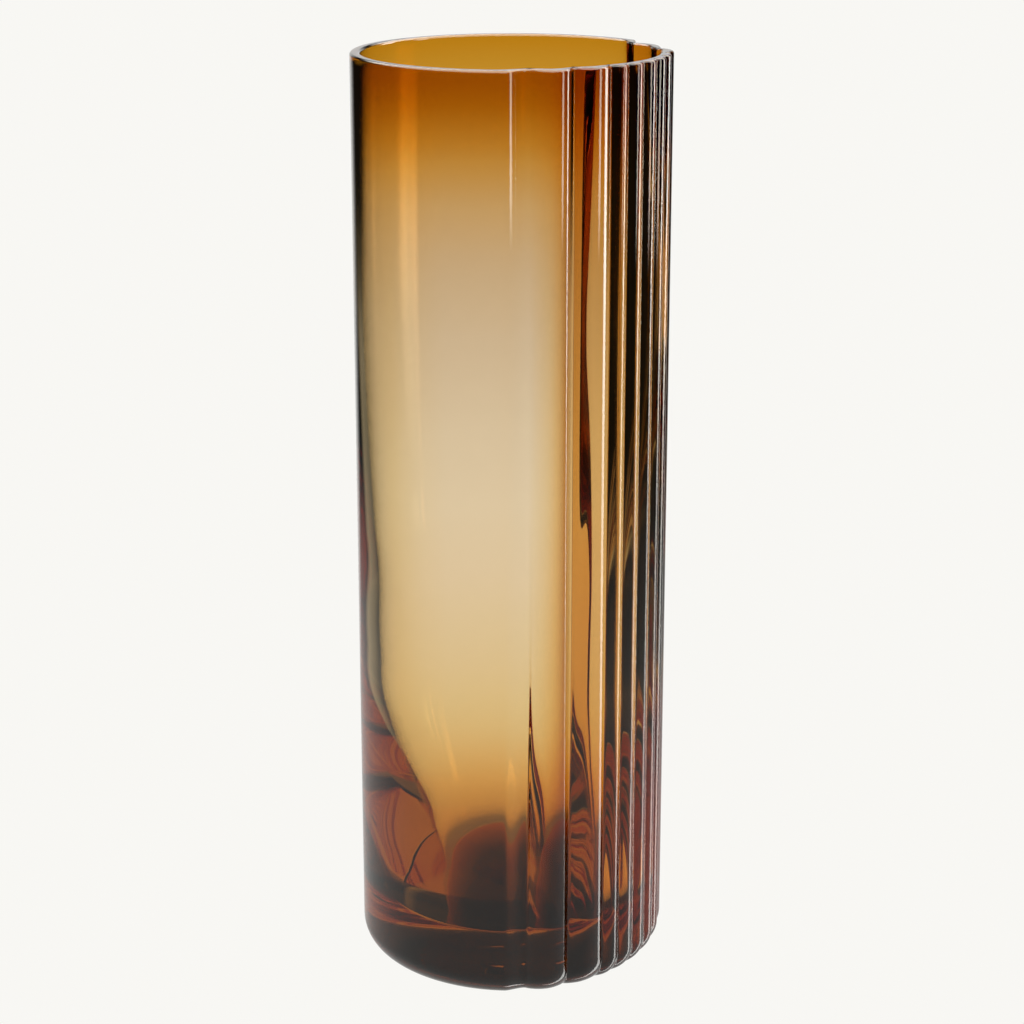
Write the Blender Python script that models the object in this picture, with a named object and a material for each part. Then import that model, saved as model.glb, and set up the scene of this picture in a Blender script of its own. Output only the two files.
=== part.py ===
"""Hand-blown amber glass vase: a tall smooth cylinder whose one side is gathered into upright flutes.

Units are metres, +Z is up and the origin is the centre of the base. Azimuths are in degrees about +Z,
from -Y (0) towards +X (90). The vase is one piece of glass, so it is one closed solid: a loft of
sections that are round on the plain side and fluted on the other, with an open cavity inside.
Every depth is measured inwards from the plain cylinder.
"""

import math

import bmesh
import bpy
import numpy as np

# Overall size
HEIGHT = 0.400
OUTER_RADIUS = 0.06725

# Edges and base
RIM_EDGE = 0.0011  # rounding of the polished rim
HEEL_RADIUS = 0.0127
PONTIL_RADIUS = 0.019  # ground hollow where the punty was broken off
PONTIL_DEPTH = 0.0012

# Flutes at the rim: the wall steps in, runs through the grooves and steps out again
STEP_IN = -1.5  # azimuth where the plain wall ends
STEP_OUT = 128.0  # azimuth where it starts again
GROOVES = (  # azimuth and depth of each groove; two wide flutes stand at each end, narrow ones between
    (7.0, 0.0068),
    (23.8, 0.0072),
    (39.2, 0.0054),
    (47.2, 0.0045),
    (56.4, 0.0042),
    (65.7, 0.0039),
    (75.0, 0.0036),
    (84.3, 0.0034),
    (100.0, 0.0046),
    (119.5, 0.0066),
)
CRESTS = (0.0003, 0.0018, 0.0019, 0.0017, 0.0014, 0.0011, 0.0008, 0.0, 0.0018)  # depth of each flute's crest
ROUNDNESS = 0.94  # 1 would make the round part of a flute's section a half ellipse
ROUND_SHARE = 0.8  # the rest of the section is a wave
STEP_EASE = 1.2
LEAN = -1.3  # degrees that the flutes turn from the rim down to the base
HEEL_SHARE = 0.66  # share of the flutes' depth left at the top of the heel
UNDER_SHARE = 0.30  # and where the heel meets the flat of the base

# Cavity
FLOOR_HEIGHT = 0.0220
FLOOR_DOME = 0.0010
FLOOR_RADIUS = 0.0335
FLOOR_FILLET = 0.0020
INNER_FOLLOW = 0.95  # share of the smoothed flutes' depth that the inside of the wall repeats
INNER_BLUR = 3.2  # degrees over which the inside smooths the flutes
FOLLOW_START = 0.060  # height where the inside begins to follow the flutes
FOLLOW_FULL = 0.220
WALL = (  # height and wall thickness on the plain side, from the rim down
    (0.400, 0.0046),
    (0.372, 0.0041),
    (0.325, 0.0037),
    (0.275, 0.0038),
    (0.231, 0.0050),
    (0.199, 0.0064),
    (0.172, 0.0079),
    (0.145, 0.0085),
    (0.121, 0.0093),
    (0.100, 0.0122),
    (0.072, 0.0190),
    (0.050, 0.0255),
)

# Mesh resolution
PLAIN_COLUMNS = 36
STEP_COLUMNS = 5
WIDE_COLUMNS = 8
NARROW_COLUMNS = 6
WIDE_SPAN = 12.0  # a flute wider than this gets the wide count
EDGE_STEPS = 3
HEEL_STEPS = 6
OUTLINE_SAMPLES = 1440

NAME = "hand_blown_art_glass_vase"


def smooth_step(t):
    t = min(1.0, max(0.0, t))
    return t * t * (3 - 2 * t)


def step_depth(t, groove):
    """Depth across a step, t from 0 at the plain wall to 1 at the first groove."""
    return groove * math.sin(0.5 * math.pi * t**STEP_EASE)


def flute_section(u):
    """Fall of a flute's section from 0 at its crest to 1 at its grooves, u from -1 to 1."""
    rounded = (1 - math.sqrt(1 - (ROUNDNESS * u) ** 2)) / (1 - math.sqrt(1 - ROUNDNESS**2))
    wave = 0.5 - 0.5 * math.cos(math.pi * u)
    return ROUND_SHARE * rounded + (1 - ROUND_SHARE) * wave


def flute_depth(azimuth):
    """Depth of the outside of the wall at the rim."""
    a = (azimuth - STEP_IN) % 360 + STEP_IN
    if a >= STEP_OUT:
        return 0.0
    first, last = GROOVES[0], GROOVES[-1]
    if a < first[0]:
        return step_depth((a - STEP_IN) / (first[0] - STEP_IN), first[1])
    if a >= last[0]:
        return step_depth((STEP_OUT - a) / (STEP_OUT - last[0]), last[1])
    for (start, left), (end, right), crest in zip(GROOVES, GROOVES[1:], CRESTS):
        if a < end:
            u = 2 * (a - start) / (end - start) - 1
            return crest + ((left if u < 0 else right) - crest) * flute_section(u)


def smoothed_depths():
    """The flute depths smoothed round the vase, as the inside of the wall follows them."""
    step = 360 / OUTLINE_SAMPLES
    depths = np.array([flute_depth(i * step) for i in range(OUTLINE_SAMPLES)])
    offsets = np.arange(-OUTLINE_SAMPLES // 2, OUTLINE_SAMPLES // 2) * step
    kernel = np.exp(-0.5 * (offsets / INNER_BLUR) ** 2)
    spectrum = np.fft.fft(depths) * np.fft.fft(np.fft.ifftshift(kernel / kernel.sum()))
    return np.real(np.fft.ifft(spectrum))


def column_azimuths():
    """Azimuths of the mesh's columns: few on the plain side, more across each flute."""
    edges = [STEP_IN] + [azimuth for azimuth, _ in GROOVES] + [STEP_OUT]
    azimuths = []
    for i, (start, end) in enumerate(zip(edges, edges[1:])):
        count = WIDE_COLUMNS if end - start > WIDE_SPAN else NARROW_COLUMNS
        if i in (0, len(edges) - 2):
            count = STEP_COLUMNS
        azimuths += [start + (end - start) * k / count for k in range(count)]
    plain = 360 - (STEP_OUT - STEP_IN)
    azimuths += [STEP_OUT + plain * k / PLAIN_COLUMNS for k in range(PLAIN_COLUMNS)]
    return azimuths


def depth_share(height):
    """Share of the rim's flute depth that the outside keeps at a height above the heel."""
    return HEEL_SHARE + (1 - HEEL_SHARE) * (height - HEEL_RADIUS) / (HEIGHT - HEEL_RADIUS)


def outer_rings():
    """Rings down the outside, each as radius, height and its share of the flutes' depth."""
    rings = [(OUTER_RADIUS - WALL[0][1] / 2, HEIGHT, 1.0)]
    for k in range(EDGE_STEPS + 1):
        a = math.radians(90 * k / EDGE_STEPS)
        radius = OUTER_RADIUS - RIM_EDGE + RIM_EDGE * math.sin(a)
        rings.append((radius, HEIGHT - RIM_EDGE + RIM_EDGE * math.cos(a), 1.0))
    for k in range(HEEL_STEPS + 1):
        a = math.radians(90 * k / HEEL_STEPS)
        radius = OUTER_RADIUS - HEEL_RADIUS + HEEL_RADIUS * math.cos(a)
        share = HEEL_SHARE + (UNDER_SHARE - HEEL_SHARE) * k / HEEL_STEPS
        rings.append((radius, HEEL_RADIUS - HEEL_RADIUS * math.sin(a), share))
    rings.append((PONTIL_RADIUS, 0.0, 0.0))
    rings.append((PONTIL_RADIUS * 0.6, PONTIL_DEPTH * 0.7, 0.0))
    return rings


def inner_rings():
    """Rings up the inside, from the floor of the cavity to the rim."""
    rings = [(FLOOR_RADIUS * 0.5, FLOOR_HEIGHT + FLOOR_DOME * 0.7, 0.0)]
    rings.append((FLOOR_RADIUS, FLOOR_HEIGHT, 0.0))
    rings.append((FLOOR_RADIUS + FLOOR_FILLET, FLOOR_HEIGHT + FLOOR_FILLET, 0.0))
    for height, wall in WALL[:0:-1]:
        follow = smooth_step((height - FOLLOW_START) / (FOLLOW_FULL - FOLLOW_START))
        rings.append((OUTER_RADIUS - wall, height, INNER_FOLLOW * follow * depth_share(height)))
    for k in range(EDGE_STEPS + 1):
        a = math.radians(90 * k / EDGE_STEPS)
        radius = OUTER_RADIUS - WALL[0][1] + RIM_EDGE - RIM_EDGE * math.cos(a)
        rings.append((radius, HEIGHT - RIM_EDGE + RIM_EDGE * math.sin(a), INNER_FOLLOW))
    return rings


def ring_of_vertices(bm, azimuths, radius, height, share, depths):
    ring = []
    for azimuth, depth in zip(azimuths, depths):
        a = math.radians(azimuth + LEAN * (1 - height / HEIGHT))
        r = radius - share * depth
        ring.append(bm.verts.new((r * math.sin(a), -r * math.cos(a), height)))
    return ring


def bridge(bm, ring, following):
    count = len(ring)
    for i in range(count):
        j = (i + 1) % count
        bm.faces.new((ring[i], following[i], following[j], ring[j]))


def cap(bm, ring, centre):
    for i, vertex in enumerate(ring):
        bm.faces.new((vertex, ring[(i + 1) % len(ring)], centre))


def amber_glass():
    material = bpy.data.materials.new("amber_glass")
    material.use_nodes = True
    shader = material.node_tree.nodes["Principled BSDF"]
    shader.inputs["Base Color"].default_value = (0.74, 0.40, 0.10, 1.0)
    shader.inputs["Roughness"].default_value = 0.02
    shader.inputs["Metallic"].default_value = 0.0
    shader.inputs["Transmission Weight"].default_value = 1.0
    shader.inputs["IOR"].default_value = 1.5
    return material


def vase_body(collection):
    azimuths = column_azimuths()
    outside = [flute_depth(a) for a in azimuths]
    samples = np.arange(OUTLINE_SAMPLES + 1) * 360 / OUTLINE_SAMPLES
    smoothed = smoothed_depths()
    smoothed = np.append(smoothed, smoothed[0])
    inside = [float(np.interp(a % 360, samples, smoothed)) for a in azimuths]

    bm = bmesh.new()
    rings = [ring_of_vertices(bm, azimuths, *ring, inside) for ring in inner_rings()]
    rings += [ring_of_vertices(bm, azimuths, *ring, outside) for ring in outer_rings()]
    for ring, following in zip(rings, rings[1:]):
        bridge(bm, ring, following)
    cap(bm, rings[0], bm.verts.new((0.0, 0.0, FLOOR_HEIGHT + FLOOR_DOME)))
    cap(bm, rings[-1], bm.verts.new((0.0, 0.0, PONTIL_DEPTH)))
    bmesh.ops.recalc_face_normals(bm, faces=bm.faces)

    mesh = bpy.data.meshes.new("vase_body")
    bm.to_mesh(mesh)
    bm.free()
    mesh.shade_smooth()
    mesh.set_sharp_from_angle(angle=math.radians(40))
    mesh.materials.append(amber_glass())
    collection.objects.link(bpy.data.objects.new("vase_body", mesh))


def main():
    for old in list(bpy.data.objects):
        bpy.data.objects.remove(old)
    collection = bpy.data.collections.new(NAME)
    bpy.context.scene.collection.children.link(collection)
    vase_body(collection)


main()
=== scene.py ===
"""Hand-blown amber glass vase on a pale floor, seen a little from above.

The vase is one piece of real glass: a fine mesh of the outside, the rim and the cavity. Lengths are in
metres. Azimuths on the vase are in degrees about +Z, from -Y (0) towards +X (90), and every depth is
measured inwards from the plain cylinder.
"""

import math

import bmesh
import bpy
import numpy as np
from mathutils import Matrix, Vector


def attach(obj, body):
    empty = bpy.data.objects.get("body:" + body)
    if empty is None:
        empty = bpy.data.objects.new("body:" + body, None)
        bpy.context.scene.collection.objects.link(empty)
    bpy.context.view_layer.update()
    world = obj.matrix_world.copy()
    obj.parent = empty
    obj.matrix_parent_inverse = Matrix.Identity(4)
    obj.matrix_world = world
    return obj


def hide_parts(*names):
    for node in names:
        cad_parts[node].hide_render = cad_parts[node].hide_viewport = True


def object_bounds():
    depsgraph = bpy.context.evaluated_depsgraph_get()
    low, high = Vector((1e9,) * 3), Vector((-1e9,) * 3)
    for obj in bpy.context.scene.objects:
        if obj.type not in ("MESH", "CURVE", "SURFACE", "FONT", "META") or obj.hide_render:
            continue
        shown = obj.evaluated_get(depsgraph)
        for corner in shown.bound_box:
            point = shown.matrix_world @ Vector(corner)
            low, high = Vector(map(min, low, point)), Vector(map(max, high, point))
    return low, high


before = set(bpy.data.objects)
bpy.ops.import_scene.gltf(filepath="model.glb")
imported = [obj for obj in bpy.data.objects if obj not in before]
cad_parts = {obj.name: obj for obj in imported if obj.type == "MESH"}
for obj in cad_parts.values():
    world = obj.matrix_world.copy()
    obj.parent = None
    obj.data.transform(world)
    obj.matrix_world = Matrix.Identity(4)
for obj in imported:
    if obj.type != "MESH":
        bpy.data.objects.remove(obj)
cad_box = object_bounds()

# ---------------------------------------------------------------- sizes
# All but RIM_EDGE and the two blurs are the CAD's own.
HEIGHT = round(float(cad_box[1][2]), 6)
RADIUS = 0.06725
RIM_EDGE = 0.0012  # rounding of the rim
HEEL_RADIUS = 0.0127
PONTIL_RADIUS = 0.019  # ground hollow under the base
PONTIL_DEPTH = 0.0012

# flutes at the rim: the wall steps in, runs through the grooves and steps out again
STEP_IN, STEP_OUT = -1.5, 128.0
GROOVES = (  # azimuth and depth
    (7.0, 0.0068),
    (23.8, 0.0072),
    (39.2, 0.0054),
    (47.2, 0.0045),
    (56.4, 0.0042),
    (65.7, 0.0039),
    (75.0, 0.0036),
    (84.3, 0.0034),
    (100.0, 0.0046),
    (119.5, 0.0066),
)
CRESTS = (0.0003, 0.0018, 0.0019, 0.0017, 0.0014, 0.0011, 0.0008, 0.0, 0.0018)  # depth of each crest
ROUNDNESS = 0.94  # 1 would make the round part of a flute's section a half ellipse
ROUND_SHARE = 0.8  # the rest of the section is a wave
STEP_EASE = 1.2
LEAN = -1.3  # degrees that the flutes turn from the rim down to the base
HEEL_SHARE = 0.66  # share of the flutes' depth left at the top of the heel
UNDER_SHARE = 0.30  # and where the heel meets the flat of the base
OUTER_BLUR = 0.45  # degrees over which the outside softens the flutes' edges

# cavity
FLOOR_HEIGHT = 0.0220
FLOOR_DOME = 0.0010
FLOOR_RADIUS = 0.0335
FLOOR_FILLET = 0.0020
INNER_FOLLOW = 0.95  # share of the smoothed flutes' depth that the inside of the wall repeats
INNER_BLUR = 3.8  # degrees over which the inside smooths the flutes
FOLLOW_START, FOLLOW_FULL = 0.060, 0.220  # heights where the inside begins and ends easing into them
WALL = (  # height and wall thickness on the plain side, from the rim down
    (0.400, 0.0046),
    (0.372, 0.0041),
    (0.325, 0.0037),
    (0.275, 0.0038),
    (0.231, 0.0050),
    (0.199, 0.0064),
    (0.172, 0.0079),
    (0.145, 0.0085),
    (0.121, 0.0093),
    (0.100, 0.0122),
    (0.072, 0.0190),
    (0.050, 0.0255),
)
RIM_WALL, FOOT_WALL = WALL[0][1], WALL[-1][1]
FOOT_HEIGHT = WALL[-1][0]

# mesh resolution
COLUMNS = 900
SIDE_ROWS = 96
RIM_STEPS = 7
HEEL_STEPS = 16
FILLET_STEPS = 6
FOOT_STEPS = 4
PONTIL_ROWS = 7
FLOOR_ROWS = 8
CENTRE = 0.12  # share of its radius where a flat round end closes in a fan


def between(start, end, t):
    return start + (end - start) * t


def smooth_step(t):
    t = np.clip(t, 0.0, 1.0)
    return t * t * (3 - 2 * t)


def quarter_turn(steps):
    """Angles from 0 to 90 degrees, in radians."""
    return np.radians(np.linspace(0, 90, steps + 1))


# ---------------------------------------------------------------- section of the flutes
def step_depth(t, groove):
    """Depth across a step, t from 0 at the plain wall to 1 at the first groove."""
    return groove * math.sin(0.5 * math.pi * t**STEP_EASE)


def flute_section(u):
    """Fall of a flute's section from 0 at its crest to 1 at its grooves, u from -1 to 1."""
    rounded = (1 - math.sqrt(1 - (ROUNDNESS * u) ** 2)) / (1 - math.sqrt(1 - ROUNDNESS**2))
    wave = 0.5 - 0.5 * math.cos(math.pi * u)
    return ROUND_SHARE * rounded + (1 - ROUND_SHARE) * wave


def flute_depth(azimuth):
    """Depth of the wall at the rim, before it is smoothed."""
    a = (azimuth - STEP_IN) % 360 + STEP_IN
    if a >= STEP_OUT:
        return 0.0
    first, last = GROOVES[0], GROOVES[-1]
    if a < first[0]:
        return step_depth((a - STEP_IN) / (first[0] - STEP_IN), first[1])
    if a >= last[0]:
        return step_depth((STEP_OUT - a) / (STEP_OUT - last[0]), last[1])
    for (start, left), (end, right), crest in zip(GROOVES, GROOVES[1:], CRESTS):
        if a < end:
            u = 2 * (a - start) / (end - start) - 1
            return crest + ((left if u < 0 else right) - crest) * flute_section(u)


def smoothed(depths, blur):
    """Depths round the vase, smoothed over a number of degrees."""
    count = len(depths)
    offsets = np.arange(-(count // 2), count - count // 2) * 360 / count
    kernel = np.exp(-0.5 * (offsets / blur) ** 2)
    spectrum = np.fft.fft(depths) * np.fft.fft(np.fft.ifftshift(kernel / kernel.sum()))
    return np.maximum(np.real(np.fft.ifft(spectrum)), 0.0)


AZIMUTHS = np.arange(COLUMNS) * 360 / COLUMNS
RAW_DEPTHS = np.array([flute_depth(a) for a in AZIMUTHS])
OUTSIDE = smoothed(RAW_DEPTHS, OUTER_BLUR)
INSIDE = smoothed(RAW_DEPTHS, INNER_BLUR)


# ---------------------------------------------------------------- rings of the mesh
def depth_share(height):
    """Share of the rim's flute depth that the outside keeps at a height above the heel."""
    return between(HEEL_SHARE, 1.0, (height - HEEL_RADIUS) / (HEIGHT - HEEL_RADIUS))


def wall_curve(height):
    """Wall thickness on the plain side: a smooth curve through WALL."""
    heights, walls = np.array(WALL)[::-1].T
    slopes = np.gradient(walls, heights)
    i = int(np.clip(np.searchsorted(heights, height) - 1, 0, len(heights) - 2))
    span = heights[i + 1] - heights[i]
    t = (height - heights[i]) / span
    return float(
        (1 + 2 * t) * (1 - t) ** 2 * walls[i]
        + t * (1 - t) ** 2 * span * slopes[i]
        + t * t * (3 - 2 * t) * walls[i + 1]
        + t * t * (t - 1) * span * slopes[i + 1]
    )


def outer_rings():
    """Rings down the outside, each as radius, height and its share of the flutes' depth."""
    rings = [(RADIUS - RIM_WALL / 2, HEIGHT, 1.0)]
    for a in quarter_turn(RIM_STEPS):
        rings.append((RADIUS - RIM_EDGE * (1 - math.sin(a)), HEIGHT - RIM_EDGE * (1 - math.cos(a)), 1.0))
    for height in np.linspace(HEIGHT - RIM_EDGE, HEEL_RADIUS, SIDE_ROWS)[1:-1]:
        rings.append((RADIUS, height, depth_share(height)))
    for k, a in enumerate(quarter_turn(HEEL_STEPS)):
        share = between(HEEL_SHARE, UNDER_SHARE, k / HEEL_STEPS)
        rings.append((RADIUS - HEEL_RADIUS * (1 - math.cos(a)), HEEL_RADIUS * (1 - math.sin(a)), share))
    rings.append((between(RADIUS - HEEL_RADIUS, PONTIL_RADIUS, 0.5), 0.0, 0.5 * UNDER_SHARE))
    for t in np.linspace(1, CENTRE, PONTIL_ROWS):
        rings.append((PONTIL_RADIUS * t, PONTIL_DEPTH * (1 - t * t), 0.0))
    return rings


def inner_rings():
    """Rings up the inside, from the floor of the cavity to the rim."""
    rings = []
    for t in np.linspace(CENTRE, 1, FLOOR_ROWS):
        rings.append((FLOOR_RADIUS * t, FLOOR_HEIGHT + FLOOR_DOME * (1 - t * t), 0.0))
    for a in quarter_turn(FILLET_STEPS)[1:]:
        radius = FLOOR_RADIUS + FLOOR_FILLET * math.sin(a)
        rings.append((radius, FLOOR_HEIGHT + FLOOR_FILLET * (1 - math.cos(a)), 0.0))
    for t in np.linspace(0, 1, FOOT_STEPS + 1)[1:-1]:
        radius = between(FLOOR_RADIUS + FLOOR_FILLET, RADIUS - FOOT_WALL, t)
        rings.append((radius, between(FLOOR_HEIGHT + FLOOR_FILLET, FOOT_HEIGHT, t), 0.0))
    for height in np.linspace(FOOT_HEIGHT, HEIGHT - RIM_EDGE, SIDE_ROWS):
        follow = smooth_step((height - FOLLOW_START) / (FOLLOW_FULL - FOLLOW_START))
        rings.append((RADIUS - wall_curve(height), height, INNER_FOLLOW * follow * depth_share(height)))
    mouth = RADIUS - wall_curve(HEIGHT - RIM_EDGE)
    for a in quarter_turn(RIM_STEPS)[1:]:
        radius = mouth + RIM_EDGE * (1 - math.cos(a))
        rings.append((radius, HEIGHT - RIM_EDGE * (1 - math.sin(a)), INNER_FOLLOW))
    return rings


def ring_points(radius, height, share, depths):
    a = np.radians(AZIMUTHS + LEAN * (1 - height / HEIGHT))
    r = radius - share * depths
    return np.stack([r * np.sin(a), -r * np.cos(a), np.full_like(a, height)], -1)


def vase_glass():
    """One closed mesh: up the inside, over the rim, down the outside and under the base."""
    rings = [ring_points(*ring, INSIDE) for ring in inner_rings()]
    rings += [ring_points(*ring, OUTSIDE) for ring in outer_rings()]
    centres = [[[0.0, 0.0, FLOOR_HEIGHT + FLOOR_DOME]], [[0.0, 0.0, PONTIL_DEPTH]]]
    vertices = np.concatenate(rings + centres)
    last = (len(rings) - 1) * COLUMNS
    floor_centre = len(rings) * COLUMNS
    base_centre = floor_centre + 1
    columns = [(c, (c + 1) % COLUMNS) for c in range(COLUMNS)]
    faces = []
    for row in range(0, last, COLUMNS):
        below = row + COLUMNS
        faces += [(row + c, below + c, below + d, row + d) for c, d in columns]
    for c, d in columns:
        faces.append((c, d, floor_centre))
        faces.append((last + d, last + c, base_centre))
    mesh = bpy.data.meshes.new("vase_glass")
    mesh.from_pydata(vertices.tolist(), [], faces)
    mesh.update()
    mesh.shade_smooth()
    body = bpy.data.objects.new("vase_glass", mesh)
    bpy.context.scene.collection.objects.link(body)
    return body


# ---------------------------------------------------------------- node trees
class Graph:
    """Short names for the nodes of a tree; a value is a number, a colour or a socket."""

    def __init__(self, tree):
        self.tree = tree

    def node(self, kind):
        return self.tree.nodes.new(kind)

    def put(self, socket, value):
        if isinstance(value, (int, float, tuple)):
            socket.default_value = value
        else:
            self.tree.links.new(value, socket)

    def coordinates(self, kind):
        """x, y and z of a texture coordinate."""
        split = self.node("ShaderNodeSeparateXYZ")
        self.put(split.inputs[0], self.node("ShaderNodeTexCoord").outputs[kind])
        return tuple(split.outputs[name] for name in "XYZ")

    def math(self, operation, *values):
        node = self.node("ShaderNodeMath")
        node.operation = operation
        for socket, value in zip(node.inputs, values):
            self.put(socket, value)
        return node.outputs[0]

    def add(self, a, b):
        return self.math("ADD", a, b)

    def times(self, a, b):
        return self.math("MULTIPLY", a, b)

    def rest(self, share):
        """What a share leaves of 1."""
        return self.math("SUBTRACT", 1.0, share)

    def degrees(self, radians):
        return self.times(radians, 180 / math.pi)

    def most(self, *values):
        total = values[0]
        for value in values[1:]:
            total = self.math("MAXIMUM", total, value)
        return total

    def mix(self, share, a, b):
        """a where share is 0, b where it is 1."""
        return self.add(self.times(a, self.rest(share)), self.times(b, share))

    def slope(self, value, start, end, low=0.0, high=1.0, ease="SMOOTHSTEP"):
        """low on the near side of start, high past end, and a slope between them."""
        node = self.node("ShaderNodeMapRange")
        node.interpolation_type = ease
        self.put(node.inputs["Value"], value)
        self.put(node.inputs["From Min"], start)
        self.put(node.inputs["From Max"], end)
        self.put(node.inputs["To Min"], low)
        self.put(node.inputs["To Max"], high)
        return node.outputs["Result"]

    def within(self, value, low, high, soft):
        """1 from low to high, over soft edges; an end that is None is open."""
        if low is None:
            return self.rest(self.slope(value, high - soft, high + soft))
        over_low = self.slope(value, low - soft, low + soft)
        if high is None:
            return over_low
        return self.times(over_low, self.within(value, None, high, soft))

    def colours(self, share, a, b, blend="MIX"):
        """Colour a where share is 0 and, where it is 1, colour b or its blend with a."""
        node = self.node("ShaderNodeMix")
        node.data_type = "RGBA"
        node.blend_type = blend
        self.put(node.inputs["Factor"], share)
        self.put(node.inputs["A"], a)
        self.put(node.inputs["B"], b)
        return node.outputs["Result"]

    def colour_along(self, value, stops):
        """Colour at a value, through (value, colour) stops with straight runs between them."""
        low, high = stops[0][0], stops[-1][0]
        ramp = self.node("ShaderNodeValToRGB")
        elements = ramp.color_ramp.elements
        elements.remove(elements[1])
        for i, (where, colour) in enumerate(stops):
            place = (where - low) / (high - low)
            stop = elements[0] if i == 0 else elements.new(place)
            stop.position = place
            stop.color = (*colour, 1)
        self.put(ramp.inputs["Fac"], self.slope(value, low, high, ease="LINEAR"))
        return ramp.outputs["Color"]


# ---------------------------------------------------------------- glass
IOR = 1.5
BODY_COLOUR = (0.980, 0.931, 0.826, 1.0)  # about what passes through 10 mm of the glass
BODY_DENSITY = 100.0  # per metre
TINT_AND_FOOT_SHADE = (  # height, and the filter that each surface of the wall adds there: the glass's amber, and up to about 0.009 m a near-black grey that is painted shade in the foot
    # painted shade: the first three stops darken the foot to near-black grey
    (0.000, (0.070, 0.045, 0.032)),
    (0.001, (0.050, 0.034, 0.026)),
    (0.009, (0.070, 0.045, 0.030)),
    (0.014, (0.460, 0.250, 0.080)),
    (0.019, (0.610, 0.360, 0.120)),
    (0.028, (0.700, 0.430, 0.150)),
    (0.038, (0.800, 0.520, 0.200)),
    (0.050, (0.880, 0.640, 0.320)),
    (0.070, (0.906, 0.756, 0.480)),
    (0.090, (0.920, 0.800, 0.540)),
    (0.120, (0.931, 0.826, 0.621)),
    (0.150, (0.948, 0.853, 0.713)),
    (0.185, (0.960, 0.881, 0.759)),
    (0.220, (0.950, 0.872, 0.752)),
    (0.257, (0.900, 0.803, 0.670)),
    (0.292, (0.852, 0.745, 0.605)),
    (0.327, (0.823, 0.670, 0.476)),
    (0.345, (0.820, 0.622, 0.357)),
    (0.360, (0.777, 0.520, 0.196)),
    (0.370, (0.718, 0.430, 0.101)),
    (0.386, (0.600, 0.298, 0.027)),
    (0.400, (0.550, 0.238, 0.008)),
)
FLUTE_TINT_AND_CREASE_SHADE = (  # azimuth at the rim, and a second filter: deeper amber over the flutes and at the left, and a narrow dark streak near 20 degrees that is painted shade along the steep side of the first flute, before its groove
    (-100.0, (1.00, 1.00, 1.00)),
    (-76.0, (1.00, 0.93, 0.72)),
    (-48.0, (1.00, 0.93, 0.72)),
    (-34.0, (1.00, 0.98, 0.92)),
    (-24.0, (1.00, 1.00, 1.00)),
    (8.0, (1.00, 1.00, 1.00)),
    (14.0, (0.96, 0.88, 0.70)),
    # painted shade: a dark streak along the first flute's steep side
    (17.0, (0.90, 0.70, 0.40)),
    (20.0, (0.60, 0.32, 0.10)),
    (23.0, (0.88, 0.68, 0.40)),
    (31.0, (0.87, 0.64, 0.32)),
    (118.0, (0.86, 0.62, 0.30)),
    (130.0, (1.00, 1.00, 1.00)),
    (140.0, (1.00, 1.00, 1.00)),
)


def amber_glass():
    material = bpy.data.materials.new("amber_glass")
    material.use_nodes = True
    g = Graph(material.node_tree)
    shader = g.tree.nodes["Principled BSDF"]
    shader.inputs["Roughness"].default_value = 0.0
    shader.inputs["Transmission Weight"].default_value = 1.0
    shader.inputs["IOR"].default_value = IOR
    x, y, z = g.coordinates("Object")
    azimuth = g.degrees(g.math("ARCTAN2", x, g.times(y, -1.0)))
    lean = g.times(g.math("SUBTRACT", HEIGHT, z), LEAN / HEIGHT)
    flute = g.math("SUBTRACT", azimuth, lean)
    # base colour: the glass's amber by height and azimuth, with painted shade in the foot and along the
    # first flute's steep side
    tint_and_shade = g.colours(1.0, g.colour_along(z, TINT_AND_FOOT_SHADE), g.colour_along(flute, FLUTE_TINT_AND_CREASE_SHADE), "MULTIPLY")
    g.put(shader.inputs["Base Color"], tint_and_shade)
    volume = g.node("ShaderNodeVolumeAbsorption")
    volume.inputs["Color"].default_value = BODY_COLOUR
    volume.inputs["Density"].default_value = BODY_DENSITY
    g.put(g.tree.nodes["Material Output"].inputs["Volume"], volume.outputs[0])
    return material


glass = vase_glass()
glass.data.materials.append(amber_glass())
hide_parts("vase_body")
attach(glass, "root")

# ---------------------------------------------------------------- camera
CAMERA_DISTANCE = 16.0316 * RADIUS
CAMERA_HEIGHT = 7.8082 * RADIUS
CAMERA_PITCH = 0.2921  # radians below level
SENSOR_WIDTH = 36.0  # millimetres, as LENS is
LENS = 90.8859375
CLIP_START = 0.01


def add_camera():
    data = bpy.data.cameras.new("camera")
    data.sensor_width = SENSOR_WIDTH
    data.lens = LENS
    data.clip_start = CLIP_START
    camera = bpy.data.objects.new("camera", data)
    camera.location = (0.0, -CAMERA_DISTANCE, CAMERA_HEIGHT)
    camera.rotation_euler = (math.pi / 2 - CAMERA_PITCH, 0.0, 0.0)
    bpy.context.scene.collection.objects.link(camera)
    bpy.context.scene.camera = camera


add_camera()

# ---------------------------------------------------------------- studio
# The world is dark but for soft patches of light. A patch is a power and its (low, high, soft) in degrees:
# sides is azimuth from +Y towards +X, heights is elevation above the floor, and None leaves an end open.
PALE = (0.939, 0.930, 0.900)
HORIZON, HORIZON_SOFT = -10.5, 2.5

# seen through the walls
TABLE = {"power": 1.0, "heights": (None, HORIZON, HORIZON_SOFT)}
DARK_SIDE = (41.0, 104.0, 5.0)  # a gap in the table's light
BACKDROPS = ((-20.0, 37.0, 7.0), (-112.0, -68.0, 7.0), (113.0, 157.0, 7.0))
AMBIENT = 0.01
SOLID_GLASS = {"power": 0.9, "heights": (-4.5, None, 1.0)}  # where solid glass looks out into the dark

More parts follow.
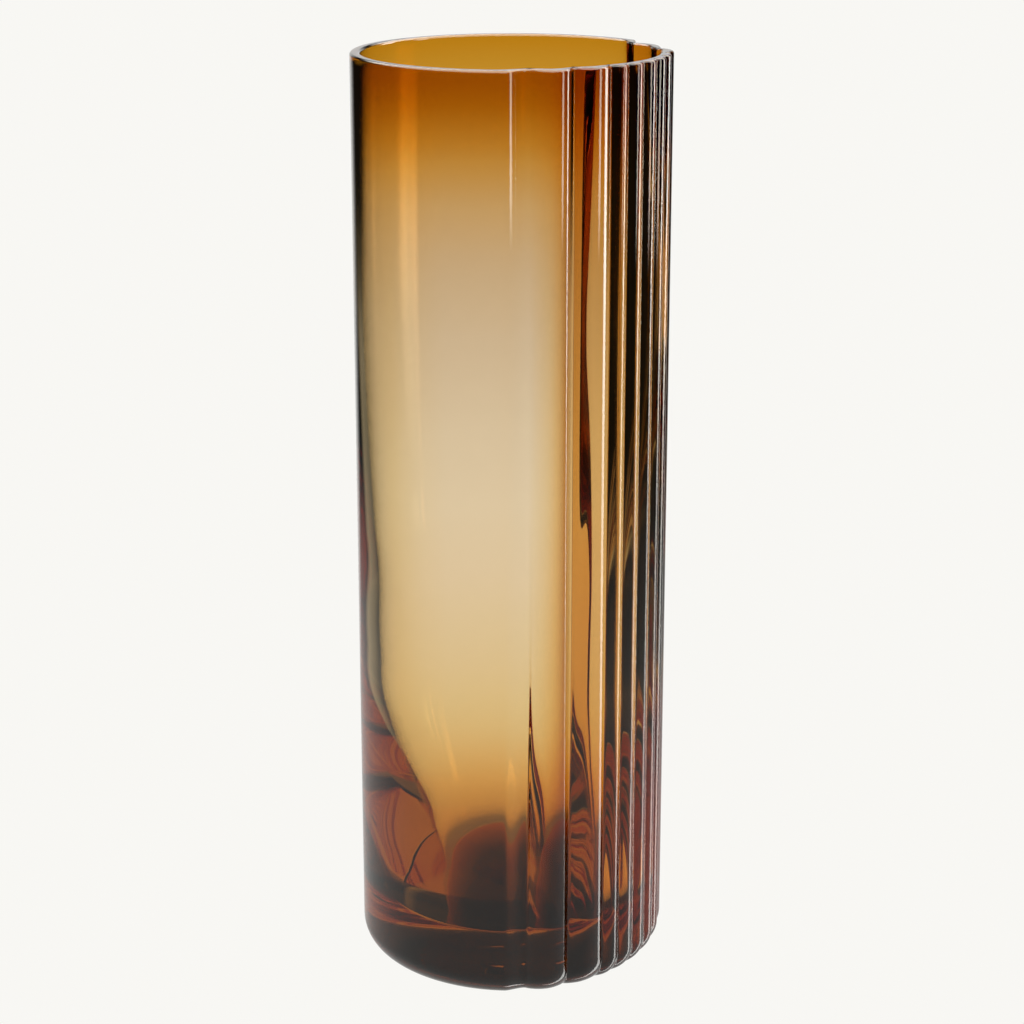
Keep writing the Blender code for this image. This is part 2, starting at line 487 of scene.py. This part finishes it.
# mirrored by the outside
NEAR_TABLE = {"power": 0.72, "heights": (None, -18.0, 4.0)}
GRAZING = {"power": 1.0, "sides": (-24.0, 24.0, 8.0), "heights": (-22.0, 14.0, 6.0)}
STRIP = (58.0, 74.0, 1.5)
STRIP_POWER, STRIP_LOW_POWER = 9.5, 4.5
STRIP_RISE = (-17.0, -9.0)  # elevations between which the strip comes up to its power
FAINT_STRIP = {"power": 7.0, "sides": (98.0, 110.0, 2.0), "heights": (-10.3, None, 1.0)}
OVERHEAD = {"power": 6.0, "heights": (28.0, None, 8.0)}

# mirrored inside the glass
DIM_LEFT = {"sides": (None, -24.0, 6.0), "heights": (None, -12.0, 4.0)}
DIM_FALL = (-8.0, -46.0)  # azimuths between which it falls from its near power to its far one
DIM_NEAR_POWER, DIM_FAR_POWER = 0.75, 0.05
GLINT = {"power": 5.0, "sides": (80.0, 96.0, 4.0), "heights": (-13.0, 8.0, 3.0)}
TURNED_UP = {"power": 0.50, "heights": (4.0, None, 4.0)}
TURNED_DOWN = {"power": 0.50, "heights": (None, -29.0, 3.0)}
ROUND_THE_WALL = {"power": 0.80, "heights": (-18.5, -4.5, 1.5)}
DEEP_AMBIENT = 0.008


class Sky(Graph):
    """The world's tree, with a ray's direction and what it has been through."""

    def __init__(self, tree):
        super().__init__(tree)
        x, y, z = self.coordinates("Generated")
        self.azimuth = self.degrees(self.math("ARCTAN2", x, y))
        self.elevation = self.degrees(self.math("ARCSINE", z))
        self.path = self.node("ShaderNodeLightPath").outputs

    def light(self, power, sides=None, heights=None):
        if sides:
            power = self.times(self.within(self.azimuth, *sides), power)
        if heights:
            power = self.times(self.within(self.elevation, *heights), power)
        return power

    def crossed(self, count):
        """1 for a ray that has passed at least this many surfaces."""
        return self.math("GREATER_THAN", self.path["Transmission Depth"], count - 0.5)

    def mirrored(self, count):
        """1 for a ray that has been mirrored at least this many times."""
        return self.math("GREATER_THAN", self.path["Glossy Depth"], count - 0.5)


def seen_through(sky):
    table = sky.times(sky.light(**TABLE), sky.rest(sky.within(sky.azimuth, *DARK_SIDE)))
    over_table = (HORIZON, None, HORIZON_SOFT)
    behind = sky.most(*(sky.light(1.0, sides, over_table) for sides in BACKDROPS))
    missed_cavity = sky.rest(sky.crossed(3))
    solid = sky.times(missed_cavity, sky.light(**SOLID_GLASS))
    return sky.times(sky.add(sky.add(table, behind), AMBIENT), sky.rest(solid))


def mirrored_outside(sky):
    power = sky.slope(sky.elevation, *STRIP_RISE, STRIP_LOW_POWER, STRIP_POWER)
    patches = [sky.light(**patch) for patch in (NEAR_TABLE, GRAZING, FAINT_STRIP, OVERHEAD)]
    return sky.most(*patches, sky.light(power, STRIP), AMBIENT)


def mirrored_inside(sky):
    power = sky.slope(sky.azimuth, *DIM_FALL, DIM_NEAR_POWER, DIM_FAR_POWER, ease="LINEAR")
    dim = sky.light(power, **DIM_LEFT)
    glint = sky.times(sky.crossed(4), sky.light(**GLINT))
    turned = sky.times(sky.mirrored(2), sky.most(sky.light(**TURNED_UP), sky.light(**TURNED_DOWN)))
    round_the_wall = sky.times(sky.mirrored(6), sky.light(**ROUND_THE_WALL))
    return sky.most(dim, glint, turned, round_the_wall, DEEP_AMBIENT)


def studio():
    world = bpy.data.worlds.new("studio")
    bpy.context.scene.world = world
    world.use_nodes = True
    sky = Sky(world.node_tree)
    reflected = sky.mix(sky.crossed(1), mirrored_outside(sky), mirrored_inside(sky))
    seen = sky.mix(sky.mirrored(1), seen_through(sky), reflected)
    background = world.node_tree.nodes["Background"]
    background.inputs["Color"].default_value = (*PALE, 1)
    sky.put(background.inputs["Strength"], sky.mix(sky.path["Is Camera Ray"], seen, 1.0))


studio()

# ---------------------------------------------------------------- floor
# The camera sees a pale floor. To light in the glass it is a painted shadow under the vase, dark in the
# middle, with a painted warm glow at its edge that stands in for light come through the amber glass; past
# that edge it is clear, so that the table's light in the world takes over.
FLOOR_SIZE = 1.5
FLOOR_SIDES = 96
FLOOR_GAP = 0.0004  # keeps the floor off the flat of the base
PAINTED_SHADOW_RISE = (0.022, 0.056)  # distances over which the painted shadow goes from dark to the painted warm glow
PAINTED_SHADOW_EDGE = (0.050, 0.056)  # distances over which it clears
# colours of the painted shadow under the vase and of the painted glow at its edge
PAINTED_SHADOW_DARK = (0.005, 0.003, 0.002, 1.0)
PAINTED_GLOW_WARM = (1.30, 0.50, 0.13, 1.0)


def floor_light():
    material = bpy.data.materials.new("floor")
    material.use_nodes = True
    material.node_tree.nodes.clear()
    f = Graph(material.node_tree)
    x, y, _ = f.coordinates("Object")
    distance = f.math("SQRT", f.add(f.times(x, x), f.times(y, y)))
    to_eye = f.node("ShaderNodeLightPath").outputs["Is Camera Ray"]
    # painted shadow under the vase with a painted warm glow at its edge, for light in the glass only
    painted_shadow_and_glow = f.colours(f.slope(distance, *PAINTED_SHADOW_RISE), PAINTED_SHADOW_DARK, PAINTED_GLOW_WARM)
    glow = f.node("ShaderNodeEmission")
    f.put(glow.inputs["Color"], f.colours(to_eye, painted_shadow_and_glow, (*PALE, 1.0)))
    clearing = f.node("ShaderNodeMixShader")
    f.put(clearing.inputs[0], f.times(f.slope(distance, *PAINTED_SHADOW_EDGE), f.rest(to_eye)))
    f.put(clearing.inputs[1], glow.outputs[0])
    f.put(clearing.inputs[2], f.node("ShaderNodeBsdfTransparent").outputs[0])
    f.put(f.node("ShaderNodeOutputMaterial").inputs["Surface"], clearing.outputs[0])
    return material


def pale_floor():
    mesh = bpy.data.meshes.new("floor")
    shape = bmesh.new()
    bmesh.ops.create_circle(shape, cap_ends=True, radius=FLOOR_SIZE, segments=FLOOR_SIDES)
    shape.to_mesh(mesh)
    shape.free()
    mesh.materials.append(floor_light())
    floor = bpy.data.objects.new("floor", mesh)
    floor.location = (0.0, 0.0, -FLOOR_GAP)
    bpy.context.scene.collection.objects.link(floor)


pale_floor()

# ---------------------------------------------------------------- light paths and finish
BOUNCES = 24  # light runs a long way round inside the walls

scene = bpy.context.scene
scene.view_settings.view_transform = "Standard"
scene.cycles.max_bounces = BOUNCES
scene.cycles.transmission_bounces = BOUNCES
scene.cycles.glossy_bounces = BOUNCES
scene.cycles.volume_bounces = 0
